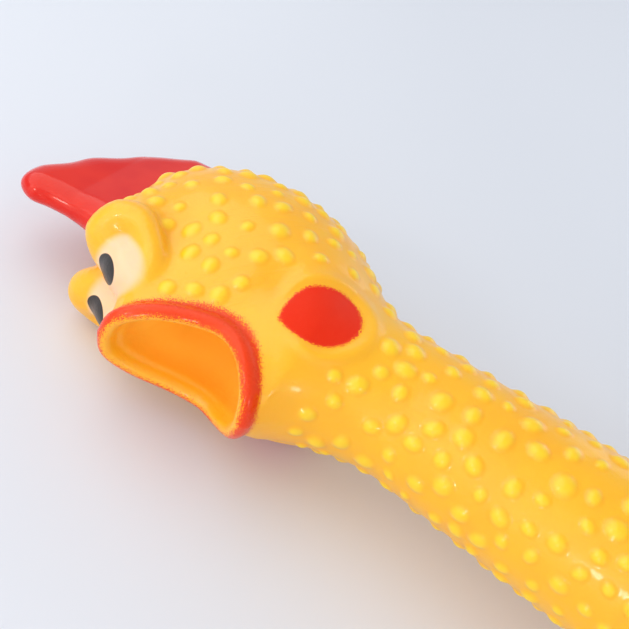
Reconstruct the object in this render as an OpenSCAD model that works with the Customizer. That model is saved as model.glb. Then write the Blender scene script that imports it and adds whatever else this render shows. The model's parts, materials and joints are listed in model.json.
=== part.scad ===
// Rubber chicken: a hollow squeeze toy that screams through a reed whistle in its throat.
// It lies on its right side. Head towards -X, face towards -Y, left side up.
//
// Every module below is drawn with the chicken upright: Z runs up its neck, the face looks
// along -Y and +X is its left. lay_down() then turns the finished piece onto its side.

/* [Head] */
// Half-width of the skull
skull_half_width = 28; // [24:0.5:32]
// Half-depth of the skull, front to back
skull_half_depth = 31; // [27:0.5:36]
// Height of the crown above the base of the head
crown_height = 87; // [80:1:96]
// How far the lips stand forward of the neck's axis
muzzle_reach = 40; // [34:0.5:44]
// Radius of the wide lower part of the mouth's rim
mouth_low_r = 15.5; // [13:0.5:20]
// Radius of the narrow upper part of the mouth's rim
mouth_top_r = 9.5; // [8:0.5:12]
// Height of the comb's tallest lobe above the base of the head
comb_height = 119; // [108:1:128]
// Thickness of the comb at its middle
comb_thickness = 11; // [7:0.5:14]
// Radius of an eyeball
eye_r = 10; // [7.5:0.25:11]
// Distance of each eyeball from the middle plane
eye_offset = 8.6; // [7.5:0.1:10]

/* [Neck] */
// Radius of the neck where it meets the head
neck_top_r = 20; // [17:0.5:23]
// Radius of the neck where it meets the shoulders
neck_base_r = 25; // [22:0.5:28]
// Distance from the base of the head down to the middle bend
head_bend_drop = 50; // [46:1:60]
// Distance from the base of the head down to the bend at the shoulders
neck_bend_drop = 112; // [104:1:122]

/* [Torso] */
// Half-width of the torso at its widest
torso_half_width = 41; // [36:0.5:46]
// Half-depth of the torso at its deepest
torso_half_depth = 42; // [37:0.5:47]
// Length of the torso, shoulders to rump
torso_length = 88; // [80:1:98]
// Radius of the belly panel that squeezes in
belly_r = 23; // [17:0.5:25]
// How far the belly panel squeezes in
belly_travel = 14; // [8:1:15]

/* [Wings] */
// Length of a wing, shoulder to tip
wing_length = 50; // [40:1:58]
// Thickness of a wing
wing_thickness = 7; // [5:0.5:9]
// How far a wing lifts away from the body, in degrees
wing_lift = 50; // [20:5:60]

/* [Legs] */
// Distance of each leg from the middle plane
leg_offset = 18.5; // [17:0.5:21]
// Radius of a thigh at the hip
thigh_r = 13; // [11:0.5:14]
// Length of a thigh, hip to hock
thigh_length = 44; // [38:1:52]
// Radius of the hock's knob
hock_r = 8; // [7:0.25:9]
// Radius of a shank
shank_r = 5; // [4:0.25:5.5]
// Length of a shank, hock to ankle
shank_length = 36; // [30:1:44]
// Radius of the ankle's knob
ankle_r = 6; // [5.5:0.25:7]
// Length of the middle front toe
toe_length = 30; // [24:1:36]
// How far a hip swings forward and back, in degrees
hip_swing = 30; // [15:5:35]

/* [Skin] */
// Thickness of the vinyl wall
wall = 2.2; // [1.6:0.1:2.8]
// Gap between pieces that move past each other
gap = 0.5; // [0.3:0.1:0.8]

/* [Whistle] */
// Outer radius of the whistle's barrel
barrel_r = 9; // [8:0.25:10]
// Length of the whistle's barrel
barrel_length = 26; // [22:1:30]
// Wall of the whistle's barrel
barrel_wall = 1.4; // [1:0.1:1.8]
// Width of the reed
reed_width = 6; // [4:0.25:7]
// Thickness of the reed
reed_thickness = 0.4; // [0.3:0.05:0.6]

/* [Hidden] */

ring_points = 30;   // points round each section of the skin
$fn = 24;

// Heights of the pivots, measured from the base of the head
head_pivot_u = -head_bend_drop;
neck_pivot_u = -neck_bend_drop;
shoulder_u = neck_pivot_u - 14;
rump_u = shoulder_u - torso_length;
belly_u = shoulder_u - 0.46 * torso_length;
belly_f = 4;
hip_u = rump_u + 17;
hip_f = 2;
hock_u = hip_u - thigh_length;
ankle_u = hock_u - shank_length;
wing_root_u = shoulder_u - 12;
wing_root_l = 0.86 * torso_half_width;
wing_root_r = 6;

// How it lies: raised until it touches the ground, and tilted until head and wing both do
wing_reach = torso_half_width + 0.62 * wing_thickness;
widest_u = 46;
rest_tilt = asin((wing_reach - skull_half_width - 0.1) / (widest_u - belly_u));
rest_height = wing_reach * cos(rest_tilt);

// The face
mouth_low_u = 25;
mouth_top_u = 49;
rim_r = 3;                       // radius of the rolled lip
eye_f = 22;
eye_u = 67.5;
ear_u = 11.5;
ear_turn = 30;                   // how far round towards the face the ear lobes sit, in degrees
ear_reach = 0.82 * skull_half_width + 2;

// The throat
socket_top_u = 13;
socket_clearance = 0.1;
flange_thickness = 1.6;
flange_r = barrel_r + 2;
barrel_top_u = socket_top_u + flange_thickness;
barrel_bottom_u = socket_top_u - barrel_length;
block_r = barrel_r - barrel_wall - socket_clearance;
block_bottom_u = barrel_bottom_u + 1;
block_top_u = socket_top_u - 4;
wedge_length = 5;
bend_u = block_bottom_u + wedge_length;   // where the free part of the reed bends

// Each skin section: [height, middle's forward offset, half-depth, half-width]
skull_keys = [
    [head_pivot_u + 4, 0, neck_r(head_pivot_u), neck_r(head_pivot_u)],
    [-22, 0, neck_r(-22), neck_r(-22)],
    [-4, 0, neck_top_r + 0.5, neck_top_r + 0.5],
    [10, -2, 0.79 * skull_half_depth, 0.82 * skull_half_width],
    [24, -5, 0.92 * skull_half_depth, 0.94 * skull_half_width],
    [40, -8, skull_half_depth, skull_half_width],
    [56, -8, 0.98 * skull_half_depth, 0.96 * skull_half_width],
    [70, -7, 0.84 * skull_half_depth, 0.82 * skull_half_width],
    [crown_height - 7, -7, 0.56 * skull_half_depth, 0.55 * skull_half_width],
    [crown_height, -7, 3, 3]];

torso_keys = [
    [shoulder_u, 0, neck_base_r + 1, neck_base_r + 1],
    [shoulder_u - 0.12 * torso_length, 1, 0.8 * torso_half_depth, 0.82 * torso_half_width],
    [shoulder_u - 0.28 * torso_length, 3, 0.94 * torso_half_depth, 0.96 * torso_half_width],
    [shoulder_u - 0.46 * torso_length, belly_f, torso_half_depth, torso_half_width],
    [shoulder_u - 0.66 * torso_length, 3, 0.93 * torso_half_depth, 0.93 * torso_half_width],
    [shoulder_u - 0.84 * torso_length, 1, 0.72 * torso_half_depth, 0.76 * torso_half_width],
    [shoulder_u - 0.95 * torso_length, 0, 0.42 * torso_half_depth, 0.46 * torso_half_width],
    [rump_u, 0, 3, 3]];

// Radius of the neck at height u
function neck_r(u) = neck_top_r + (neck_base_r - neck_top_r) * (-u) / neck_bend_drop;

// Catmull-Rom curve through the keys, each span cut into the given number of steps
function key_at(keys, i) = keys[max(0, min(len(keys) - 1, i))];
function between(a, b, c, d, t) =
    0.5 * (2 * b + (c - a) * t + (2 * a - 5 * b + 4 * c - d) * t * t + (3 * b - a - 3 * c + d) * t * t * t);
function smooth(keys, steps) = [
    for (i = [0 : len(keys) - 2], k = [0 : steps - 1])
        between(key_at(keys, i - 1), keys[i], keys[i + 1], key_at(keys, i + 2), k / steps),
    keys[len(keys) - 1]];

// One ring of skin points, with inset taken off both half-axes
function ring(s, inset) = [
    for (i = [0 : ring_points - 1])
        let (a = 360 * i / ring_points)
        [max(s[3] - inset, 0.5) * cos(a), -s[1] - max(s[2] - inset, 0.5) * sin(a), s[0]]];

// Closed solid through a stack of sections whose heights run downwards or upwards
module loft(sections, inset = 0) {
    rings = len(sections);
    n = ring_points;
    up = sections[rings - 1][0] > sections[0][0];
    points = [for (s = sections) each ring(s, inset)];
    sides = [for (k = [0 : rings - 2], i = [0 : n - 1])
        [k * n + i, (k + 1) * n + i, (k + 1) * n + (i + 1) % n, k * n + (i + 1) % n]];
    start = [for (i = [0 : n - 1]) i];
    end = [for (i = [n - 1 : -1 : 0]) (rings - 1) * n + i];
    faces = [each sides, start, end];
    polyhedron(points, up ? [for (f = faces) [for (i = [len(f) - 1 : -1 : 0]) f[i]]] : faces, convexity = 6);
}

// Makes one mesh of a piece of skin, so that its cuts follow the facets
module one_mesh() resize([0, 0, 0]) children();

// Turns the upright chicken onto its right side, resting on its skull and its right wing
module lay_down()
    translate([0, 0, rest_height])
        rotate([0, -rest_tilt, 0])
            rotate([0, -90, 0])
                translate([0, 0, -belly_u])
                    children();

// Puts a left-hand shape on its own side, left for 1 and right for -1
module on_side(side) mirror([side < 0 ? 1 : 0, 0, 0]) children();

// ---- Head ----

// Outline of the mouth's rim, seen from the front
module mouth_outline(grow)
    hull() {
        translate([0, mouth_low_u]) circle(mouth_low_r + grow);
        translate([0, mouth_top_u]) circle(mouth_top_r + grow);
    }

// A thin slice of the mouth's outline at a distance forward of the neck's axis
module mouth_slice(forward, grow)
    translate([0, -forward, 0])
        rotate([90, 0, 0])
            linear_extrude(0.4)
                mouth_outline(grow);

module muzzle()
    hull() {
        mouth_slice(muzzle_reach - rim_r, 0.5);
        mouth_slice(4, 5);
    }

// The hollow behind the lips, down to the whistle
module mouth_pocket(grow = 0) {
    hull() {
        mouth_slice(muzzle_reach + 1, -rim_r + grow);
        mouth_slice(8, -rim_r - 2 + grow);
    }
    hull() {
        mouth_slice(9, -rim_r - 2 + grow);
        translate([0, 0, mouth_low_u]) sphere(mouth_low_r - rim_r - 2 + grow);
    }
}

module eye_ball(side, grow = 0)
    translate([side * eye_offset, -eye_f, eye_u]) sphere(eye_r + grow);

// Heavy lid that hoods one eyeball from above and outside
module brow(side)
    difference() {
        hull() {
            translate([side * (eye_offset + 2.5), -eye_f + 2, eye_u + 4]) sphere(eye_r + 2);
            translate([side * (eye_offset + 1), -eye_f + 14, eye_u - 2]) sphere(eye_r + 3);
        }
        translate([side * (eye_offset - 1), -eye_f - 5, eye_u - 4]) sphere(eye_r + 1);
    }

module head_outer() {
    loft(smooth(skull_keys, 2));
    muzzle();
    for (side = [-1, 1]) brow(side);
}

module head_shell()
    color("gold")
        one_mesh()
            difference() {
                head_outer();
                difference() {
                    loft(smooth(skull_keys, 2), wall);
                    mouth_pocket(wall);
                    cylinder(r = flange_r + wall, h = 2 * (socket_top_u + flange_thickness), center = true);
                }
                mouth_pocket();
                // seat of the whistle
                translate([0, 0, -barrel_length]) cylinder(r = barrel_r + socket_clearance, h = 2 * barrel_length);
                translate([0, 0, socket_top_u]) cylinder(r = flange_r + socket_clearance, h = flange_thickness + 3);
                // sleeve that turns over the neck's dome
                sleeve_bore(head_pivot_u);
            }

module mouth_rim()
    color("red")
        one_mesh()
            difference() {
                hull() {
                    mouth_slice(muzzle_reach - rim_r, 0.5);
                    mouth_slice(muzzle_reach - rim_r / 2, rim_r / 3);
                    mouth_slice(muzzle_reach + 0.4, -rim_r / 2);
                }
                head_outer();
                mouth_pocket();
            }

module eye(side)
    color("bisque")
        one_mesh()
            difference() {
                eye_ball(side);
                head_outer();
                // the two eyeballs meet in the middle plane
                translate([-side * (eye_r + 1), -eye_f, eye_u]) cube(2 * eye_r + 2, center = true);
            }

// Comb: lobes as [forward, height, radius] from front to back
comb_lobes = [
    [8, comb_height - 9, 8],
    [-10, comb_height - 12, 8],
    [-27, comb_height - 26, 8],
    [-38, comb_height - 38, 6]];
comb_root = [2, 70, 10];

module comb_disc(lobe, thickness)
    translate([0, -lobe[0], lobe[1]])
        rotate([0, 90, 0]) {
            cylinder(r = lobe[2], h = 0.35 * thickness, center = true);
            cylinder(r = lobe[2] - 3, h = 0.9 * thickness, center = true);
        }

module comb()
    color("red")
        one_mesh()
            difference() {
                for (lobe = comb_lobes)
                    hull() {
                        comb_disc(lobe, comb_thickness);
                        comb_disc(comb_root, comb_thickness + 3);
                    }
                head_outer();
            }

module ear_lobe(side)
    color("red")
        one_mesh()
            on_side(side)
                difference() {
                    rotate([0, 0, -ear_turn])
                        translate([0, 0, ear_u])
                            rotate([0, 90, 0])
                                hull() {
                                    cylinder(r = 9, h = ear_reach);
                                    translate([-8, -8, 0]) cylinder(r = 3, h = ear_reach - 1);
                                }
                    head_outer();
                    cylinder(r = 0.6 * skull_half_width, h = 100, center = true);
                }

// ---- Whistle ----

module whistle_barrel()
    color("white")
        difference() {
            union() {
                translate([0, 0, barrel_bottom_u]) cylinder(r = barrel_r, h = barrel_length);
                translate([0, 0, socket_top_u]) cylinder(r = flange_r, h = flange_thickness);
            }
            translate([0, 0, barrel_bottom_u - 1]) cylinder(r = barrel_r - barrel_wall, h = barrel_length + flange_thickness + 2);
        }

module whistle_cap()
    color("white")
        difference() {
            translate([0, 0, socket_top_u - 3]) cylinder(r = block_r, h = 3);
            for (a = [0 : 60 : 300])
                rotate(a) translate([4.4, 0, socket_top_u - 4]) cylinder(r = 1.3, h = 5, $fn = 24);
            translate([0, 0, socket_top_u - 4]) cylinder(r = 1.6, h = 5, $fn = 24);
        }

// Half-round block with the air slot that the reed beats against
module reed_block()
    color("white")
        difference() {
            translate([0, 0, block_bottom_u]) cylinder(r = block_r, h = block_top_u - block_bottom_u);
            translate([-block_r, -2 * block_r, block_bottom_u - 1]) cube([2 * block_r, 2 * block_r, 2 * barrel_length]);
            translate([-reed_width / 2 + 1, -1, bend_u + 1])
                cube([reed_width - 2, block_r - 1, barrel_length]);
        }

// A strip of reed between two heights
module reed_strip(low, high)
    color("lightgray")
        translate([-reed_width / 2, -reed_thickness - 0.05, low])
            cube([reed_width, reed_thickness, high - low]);

module reed_root() reed_strip(block_bottom_u, bend_u - 0.2);

module reed() reed_strip(bend_u, block_top_u - 2);

module reed_wedge()
    color("white")
        intersection() {
            translate([0, 0, block_bottom_u]) cylinder(r = block_r, h = wedge_length);
            translate([-block_r, -2 * block_r - reed_thickness - 0.1, block_bottom_u - 1])
                cube([2 * block_r, 2 * block_r, wedge_length + 2]);
        }

// ---- Neck ----

// Radius of the dome on which the sleeve above it turns
function dome_r(u) = neck_r(u) - wall - gap;
function stem_r(u) = 0.86 * dome_r(u);

// Bore of the sleeve that turns on the dome at height u
module sleeve_bore(u)
    translate([0, 0, u - 1]) cylinder(r = dome_r(u) + gap, h = dome_r(u) + 3, $fn = 40);

// Hollow dome on its stem, with a hole for the air through its top
module dome_shell(u, drop, facets)
    difference() {
        union() {
            translate([0, 0, u]) sphere(dome_r(u), $fn = facets);
            translate([0, 0, u - drop]) cylinder(r = stem_r(u), h = drop);
        }
        translate([0, 0, u]) sphere(dome_r(u) - wall, $fn = facets);
        translate([0, 0, u - drop - 1]) cylinder(r = stem_r(u) - wall, h = drop + 1);
        translate([0, 0, u]) cylinder(r = 0.5 * dome_r(u), h = dome_r(u) + 1);
    }

module neck_shell()
    color("gold")
        difference() {
            union() {
                translate([0, 0, neck_pivot_u + 4])
                    cylinder(r1 = neck_r(neck_pivot_u + 4), r2 = neck_r(head_pivot_u - 14),
                             h = head_pivot_u - neck_pivot_u - 18);
                dome_shell(head_pivot_u, 16, 40);
            }
            sleeve_bore(neck_pivot_u);
            translate([0, 0, neck_pivot_u + dome_r(neck_pivot_u)])
                cylinder(r1 = dome_r(neck_pivot_u) - 1, r2 = stem_r(head_pivot_u) - wall,
                         h = head_pivot_u - 14 - neck_pivot_u - dome_r(neck_pivot_u));
        }

// ---- Torso ----

module torso_outer(inset = 0) loft(smooth(torso_keys, 2), inset);

module tail()
    hull() {
        translate([0, 0.5 * torso_half_depth, rump_u + 24]) sphere(15, $fn = 18);
        translate([0, torso_half_depth + 1, rump_u + 16]) sphere(7, $fn = 18);
        translate([0, torso_half_depth + 8, rump_u + 4]) sphere(4, $fn = 18);
    }

// Prism that parts the belly panel from the torso
module belly_prism(r)
    translate([0, -belly_f, belly_u])
        rotate([90, 0, 0])
            cylinder(r = r, h = 2 * torso_half_depth);

module hip_point(side) translate([side * leg_offset, -hip_f, hip_u]) children();

// Room for a thigh through its whole swing
module thigh_sweep(side)
    hip_point(side)
        hull()
            for (a = [-hip_swing : hip_swing : hip_swing])
                rotate([a, 0, 0]) thigh_form(gap);

// The hollow inside the torso, with the sockets of the legs and wings standing in it
module torso_cavity()
    difference() {
        torso_outer(wall);
        translate([0, 0, shoulder_u + 50 - wall]) cube(100, center = true);
        for (side = [-1, 1]) hip_point(side) sphere(thigh_r + gap + wall, $fn = 20);
        for (side = [-1, 1]) wing_socket(side, wall);
    }

module torso_shell()
    color("gold")
        one_mesh()
            difference() {
                union() {
                    torso_outer();
                    tail();
                    dome_shell(neck_pivot_u, 16, 26);
                }
                torso_cavity();
                translate([0, 0, shoulder_u - 12]) cylinder(r = stem_r(neck_pivot_u) - wall, h = 20);
                belly_prism(belly_r);
                for (side = [-1, 1]) thigh_sweep(side);
                for (side = [-1, 1]) wing_socket(side, 0);
            }

module belly_panel()
    color("gold")
        one_mesh()
            intersection() {
                difference() {
                    torso_outer();
                    torso_outer(wall);
                }
                belly_prism(belly_r - gap);
            }

// ---- Wings ----

module wing_point(side) translate([side * wing_root_l, 0, wing_root_u]) children();
module back_to_middle(side) translate([-side * wing_root_l, 0, -wing_root_u]) children();

module wing_socket(side, grow) wing_point(side) sphere(wing_root_r + gap + grow, $fn = 20);

// A wing hangs from its shoulder: elbow behind, tip below, as [forward, drop, radius]
wing_bones = [
    [4, 0.42 * wing_length, 14],
    [12, 0.72 * wing_length, 8],
    [0, wing_length - 5, 5]];

// The blade flares outwards towards its tip, so that its face lies flat when the chicken rests on it
module wing_bone(bone)
    translate([wing_reach, 0, belly_u])
        rotate([0, -rest_tilt, 0])
            translate([-wing_thickness / 2, -bone[0], wing_root_u - bone[1] - belly_u])
                rotate([0, 90, 0])
                    cylinder(r = bone[2], h = wing_thickness, center = true);

module wing(side)
    color("gold")
        one_mesh()
            on_side(side)
                difference() {
                    union() {
                        hull() {
                            wing_point(1) sphere(wing_root_r);
                            translate([wing_root_l + 3.5, 0, wing_root_u - 8]) sphere(wing_root_r - 2);
                        }
                        hull() {
                            translate([wing_root_l + 3.5, 0, wing_root_u - 8]) sphere(wing_root_r - 2);
                            wing_bone(wing_bones[0]);
                        }
                        hull() for (bone = wing_bones) wing_bone(bone);
                    }
                    // the side of the torso, past the ball in its socket
                    for (a = [0 : wing_lift / 2 : wing_lift])
                        wing_point(1) rotate([0, a, 0]) back_to_middle(1)
                            difference() {
                                torso_outer(-gap);
                                wing_point(1) sphere(wing_root_r + gap / 2, $fn = 20);
                            }
                }

// ---- Legs ----

module thigh_form(grow = 0, facets = 18)
    hull() {
        sphere(thigh_r + grow, $fn = facets);
        translate([0, 0, -thigh_length]) sphere(hock_r + grow, $fn = facets);
    }

module thigh(side)
    color("gold")
        one_mesh()
            hip_point(side)
                difference() {
                    thigh_form();
                    thigh_form(-wall);
                    // open to the air inside the torso
                    cylinder(r = 0.45 * thigh_r, h = thigh_r + 1);
                }

// Height of the hock and of the ankle on their leg
module at_hock(side) hip_point(side) translate([0, 0, -thigh_length]) children();
module at_ankle(side) at_hock(side) translate([0, 0, -shank_length]) children();

module shank(side)
    color("gold")
        difference() {
            union() {
                at_ankle(side) cylinder(r = shank_r, h = shank_length);
                at_ankle(side) sphere(ankle_r);
            }
            at_hock(side) sphere(hock_r + gap);
        }

// Toes as [direction from straight ahead in degrees, length]
toes = [[0, toe_length], [-38, 0.85 * toe_length], [38, 0.85 * toe_length], [180, 0.45 * toe_length]];

module foot(side)
    color("orangered")
        one_mesh()
            difference() {
                at_ankle(side)
                    for (toe = toes)
                        hull() {
                            translate([0, 0, -ankle_r - 3]) sphere(5, $fn = 14);
                            rotate(toe[0]) translate([0, -toe[1], -ankle_r - 6]) sphere(2.6, $fn = 14);
                        }
                at_ankle(side) sphere(ankle_r + gap);
            }

// ---- Assembly ----

lay_down() head_shell();
lay_down() comb();
lay_down() mouth_rim();
lay_down() eye(1);  // left_eye
lay_down() eye(-1);  // right_eye
lay_down() ear_lobe(1);  // left_ear_lobe
lay_down() ear_lobe(-1);  // right_ear_lobe
lay_down() whistle_barrel();
lay_down() whistle_cap();
lay_down() reed_block();
lay_down() reed_root();
lay_down() reed();
lay_down() reed_wedge();
lay_down() neck_shell();
lay_down() torso_shell();
lay_down() belly_panel();
lay_down() wing(1);  // left_wing
lay_down() wing(-1);  // right_wing
lay_down() thigh(1);  // left_thigh
lay_down() thigh(-1);  // right_thigh
lay_down() shank(1);  // left_shank
lay_down() shank(-1);  // right_shank
lay_down() foot(1);  // left_foot
lay_down() foot(-1);  // right_foot
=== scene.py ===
"""A soft vinyl rubber chicken, lying on its right side.

The skin is modelled as one distance field in the chicken's own axes, in millimetres: f forwards, l to its
left, u up the neck from the base of the head. It is meshed once, then parted into pieces, each shown in
place of the CAD parts it covers.
"""
import json
import math

import bpy
import numpy as np
from mathutils import Matrix, Vector
from mathutils.kdtree import KDTree

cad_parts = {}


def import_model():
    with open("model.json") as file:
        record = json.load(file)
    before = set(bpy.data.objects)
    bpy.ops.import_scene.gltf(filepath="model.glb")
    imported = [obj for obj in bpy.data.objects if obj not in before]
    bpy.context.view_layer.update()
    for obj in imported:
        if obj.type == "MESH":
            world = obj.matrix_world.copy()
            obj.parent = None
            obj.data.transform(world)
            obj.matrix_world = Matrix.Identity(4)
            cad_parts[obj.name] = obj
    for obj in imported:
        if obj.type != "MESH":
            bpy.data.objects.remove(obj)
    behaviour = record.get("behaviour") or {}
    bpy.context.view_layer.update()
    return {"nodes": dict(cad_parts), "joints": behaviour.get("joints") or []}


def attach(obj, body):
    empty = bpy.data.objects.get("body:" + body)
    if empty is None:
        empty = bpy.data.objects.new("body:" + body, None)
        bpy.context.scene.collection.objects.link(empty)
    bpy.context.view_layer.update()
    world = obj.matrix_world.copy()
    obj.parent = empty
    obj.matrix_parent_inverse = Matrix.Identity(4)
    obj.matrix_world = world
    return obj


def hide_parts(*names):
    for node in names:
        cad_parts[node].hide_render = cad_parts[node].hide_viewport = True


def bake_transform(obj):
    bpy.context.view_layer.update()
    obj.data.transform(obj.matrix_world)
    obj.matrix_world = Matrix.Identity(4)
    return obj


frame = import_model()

MM = 0.001
SIDES = (("left", 1), ("right", -1))

# ---------------------------------------- the chicken's axes, from the frame's joints

joints = {j["name"]: j for j in frame["joints"]}
HEAD_BEND_U = -50.0     # height of the bend below the head, which puts the frame's joints on the u axis
head_bend = Vector(joints["head_nod"]["pos_m"])
neck_bend = Vector(joints["neck_bend"]["pos_m"])
UP = (head_bend - neck_bend).normalized()
LEFT = Vector(joints["head_nod"]["axis"]).normalized()
FORWARD = LEFT.cross(UP).normalized()
if FORWARD.y > 0:
    FORWARD.negate()
BASE = head_bend - UP * (HEAD_BEND_U * MM)
TO_WORLD = np.array([FORWARD, LEFT, UP]) * MM      # rows: what one mm of f, l and u is in the world


def world(p):
    """World places of points given as f, l, u in millimetres."""
    return np.asarray(p, float) @ TO_WORLD + np.array(BASE)


def chicken(place):
    """f, l, u in millimetres of a place in the world."""
    d = Vector(place) - BASE
    return np.array([d.dot(FORWARD), d.dot(LEFT), d.dot(UP)]) / MM


# ---------------------------------------- sizes, in millimetres

NECK_TOP_R = 20.0
NECK_WIDENING = 0.05    # how much the neck's radius grows for each mm down
NECK_TOP_U = 29.0       # where the neck ends inside the skull
NECK_FOOT_U = -150.0    # and inside the body
NOTHING_NEAR = 20.0     # distance told where a part can't reach
MASK_OFF = -9.0         # value of a mask far outside its patch

# centre and radii of each swelling of the head
SKULL = (-9.2, 0, 43.8)
SKULL_R = (32.1, 28.6, 44.3)
THROAT = (9, 0, 1)
THROAT_R = (16, 17, 19)
FOREHEAD = (10, 9, 72)
FOREHEAD_R = (13, 11, 11)

# how softly each part of the head runs into the rest
NECK_BLEND = 13
THROAT_BLEND = 12
FOREHEAD_BLEND = 8
MUZZLE_BLEND = 12
CHIN_BLEND_EXTRA = 8
EYE_BLEND = 3.0
BROW_BLEND = 5.0
LIP_BLEND = 1.6
MOUTH_BLEND = 3.0

MOUTH_RIM_R = 2.7
MUZZLE_FLARE = 0.36     # how fast the muzzle widens behind the lips
MUZZLE_TURN = 10.0      # how far behind the lips it starts to close again
MUZZLE_CLOSING = 0.013
MOUTH_WALL = 2.8
MOUTH_DEPTH = 27.0
WHISTLE_HOLE_R = 9.0
WHISTLE_HOLE_U = (15.0, 30.0)

BUMP_R = 3.3
BUMP_HEIGHT = 1.05
BUMP_SPACING = 6.8
BUMP_SIZES = (0.72, 1.18)       # smallest and largest, as shares of the full size
BUMP_STRETCH = 0.75     # how oval they are
BUMP_FOOT = 1.3         # how softly they run out into the skin
SKIN_STEP = 1.3
CONTACT_Z = 0.0001      # in metres; the soft skin flattens where it meets the ground
HEAD_SEAM_U = -98.0     # where the head's piece of skin ends
HIP = chicken(joints["left_hip"]["pos_m"])
HOCK = chicken(joints["left_hock"]["pos_m"])
ANKLE = chicken(joints["left_ankle"]["pos_m"])
WING_ROOT = chicken(joints["left_wing_lift"]["pos_m"])
BELLY_U = chicken((0, 0, 0))[2]

PUPIL = np.array([32.0, 8.3, 69.5])
EYE_SLOPE = math.radians(30)        # how far the eyes look up
EYE_NORMAL = np.array([math.cos(EYE_SLOPE), 0.05, math.sin(EYE_SLOPE)])
EYE_NORMAL /= np.linalg.norm(EYE_NORMAL)
EYE_R = np.array([7.5, 8.3, 11.5])         # along the eye's look, sideways, and up its face
EYE = PUPIL - EYE_NORMAL * (EYE_R[0] - 0.3)
PUPIL_HALF = (4.3, 4.9)             # sideways, and up the eye's face

# middle line of the mouth's rim, left half from the beak's tip down: [l, u]
RIM = [(0, 57.0), (6.3, 55.4), (11.0, 48.7), (13.2, 39.4), (14.2, 29.0), (13.2, 20.9), (9.2, 15.0),
       (4.8, 12.6), (0, 11.6)]


# ---------------------------------------- distance fields

def smooth_min(a, b, k):
    h = np.clip(0.5 + 0.5 * (b - a) / k, 0, 1)
    return b + (a - b) * h - k * h * (1 - h)


def smooth_max(a, b, k):
    return -smooth_min(-a, -b, k)


def ellipsoid(p, centre, radii):
    q = p - np.asarray(centre)
    a = np.linalg.norm(q / radii, axis=-1)
    b = np.linalg.norm(q / np.square(radii), axis=-1)
    return a * (a - 1) / np.maximum(b, 1e-9)


def limb(p, points, radii):
    """Chain of tapering rounded rods through the points."""
    d = None
    for a, b, ra, rb in zip(points, points[1:], radii, radii[1:]):
        a, b = np.asarray(a, float), np.asarray(b, float)
        ab = b - a
        t = np.clip(((p - a) @ ab) / (ab @ ab), 0, 1)
        e = np.linalg.norm(p - a - t[..., None] * ab, axis=-1) - (ra + t * (rb - ra))
        d = e if d is None else np.minimum(d, e)
    return d


def curve(points, closed=False, steps=8):
    """Catmull-Rom curve through the points."""
    pts = np.asarray(points, float)
    n = len(pts)

    def at(i):
        return pts[i % n] if closed else pts[min(max(i, 0), n - 1)]

    out = []
    for i in range(n if closed else n - 1):
        a, b, c, d = at(i - 1), at(i), at(i + 1), at(i + 2)
        for s in range(steps):
            t = s / steps
            out.append(0.5 * (2 * b + (c - a) * t + (2 * a - 5 * b + 4 * c - d) * t * t
                              + (3 * b - a - 3 * c + d) * t ** 3))
    if not closed:
        out.append(pts[-1])
    return np.array(out)


def polygon_distance(x, y, outline):
    """Signed distance in a plane to a closed outline, negative inside."""
    best = np.full(x.shape, 1e9)
    inside = np.zeros(x.shape, bool)
    for (x0, y0), (x1, y1) in zip(outline, np.roll(outline, -1, axis=0)):
        dx, dy = x1 - x0, y1 - y0
        t = np.clip(((x - x0) * dx + (y - y0) * dy) / (dx * dx + dy * dy + 1e-12), 0, 1)
        best = np.minimum(best, np.hypot(x - x0 - t * dx, y - y0 - t * dy))
        if y0 != y1:
            inside ^= ((y0 > y) != (y1 > y)) & (x < dx * (y - y0) / dy + x0)
    return np.where(inside, -best, best)


class Plane2D:
    """Signed distance to an outline, kept on a fine grid and looked up by interpolation."""

    def __init__(self, outline, low, high, step=0.5):
        self.low, self.step = np.array(low, float), step
        xs = np.arange(low[0], high[0] + step, step)
        ys = np.arange(low[1], high[1] + step, step)
        x, y = np.meshgrid(xs, ys, indexing="ij")
        self.value = polygon_distance(x, y, outline)

    def __call__(self, x, y):
        v = self.value
        gx = np.clip((x - self.low[0]) / self.step, 0, v.shape[0] - 1.001)
        gy = np.clip((y - self.low[1]) / self.step, 0, v.shape[1] - 1.001)
        i, j = gx.astype(int), gy.astype(int)
        s, t = gx - i, gy - j
        return ((v[i, j] * (1 - s) + v[i + 1, j] * s) * (1 - t)
                + (v[i, j + 1] * (1 - s) + v[i + 1, j + 1] * s) * t)


half_rim = curve(RIM, steps=6)
rim_outline = np.vstack([half_rim, (half_rim * [-1, 1])[-2:0:-1]])
rim_plane = Plane2D(rim_outline, (-45, -30), (45, 100))

GAPE_U = 29             # height of the gape's corners
GAPE_F = 30.4           # and how far forward they stand
BEAK_REACH = 12.6       # how much further forward the upper lip stands
CHIN_REACH = 9.6        # and the lower lip


def rim_forward(u):
    """How far forward the lips stand at each height: the corners of the gape lie further back."""
    above = np.clip((u - GAPE_U) / 27, 0, 1.2)
    below = np.clip((GAPE_U - u) / 17, 0, 1.2)
    return GAPE_F + BEAK_REACH * above ** 1.6 + CHIN_REACH * below ** 1.8


rim_path = np.column_stack([rim_forward(half_rim[:, 1]), half_rim])


def mouth_rim_field(p):
    """Signed distance to the lips' round edge, worked out only near them."""
    out = np.full(p.shape[:-1], NOTHING_NEAR)
    near = (p[..., 0] > 18) & (p[..., 2] > 0) & (p[..., 2] < 70)
    out[near] = limb(p[near], rim_path, [MOUTH_RIM_R] * len(rim_path))
    return out


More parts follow.
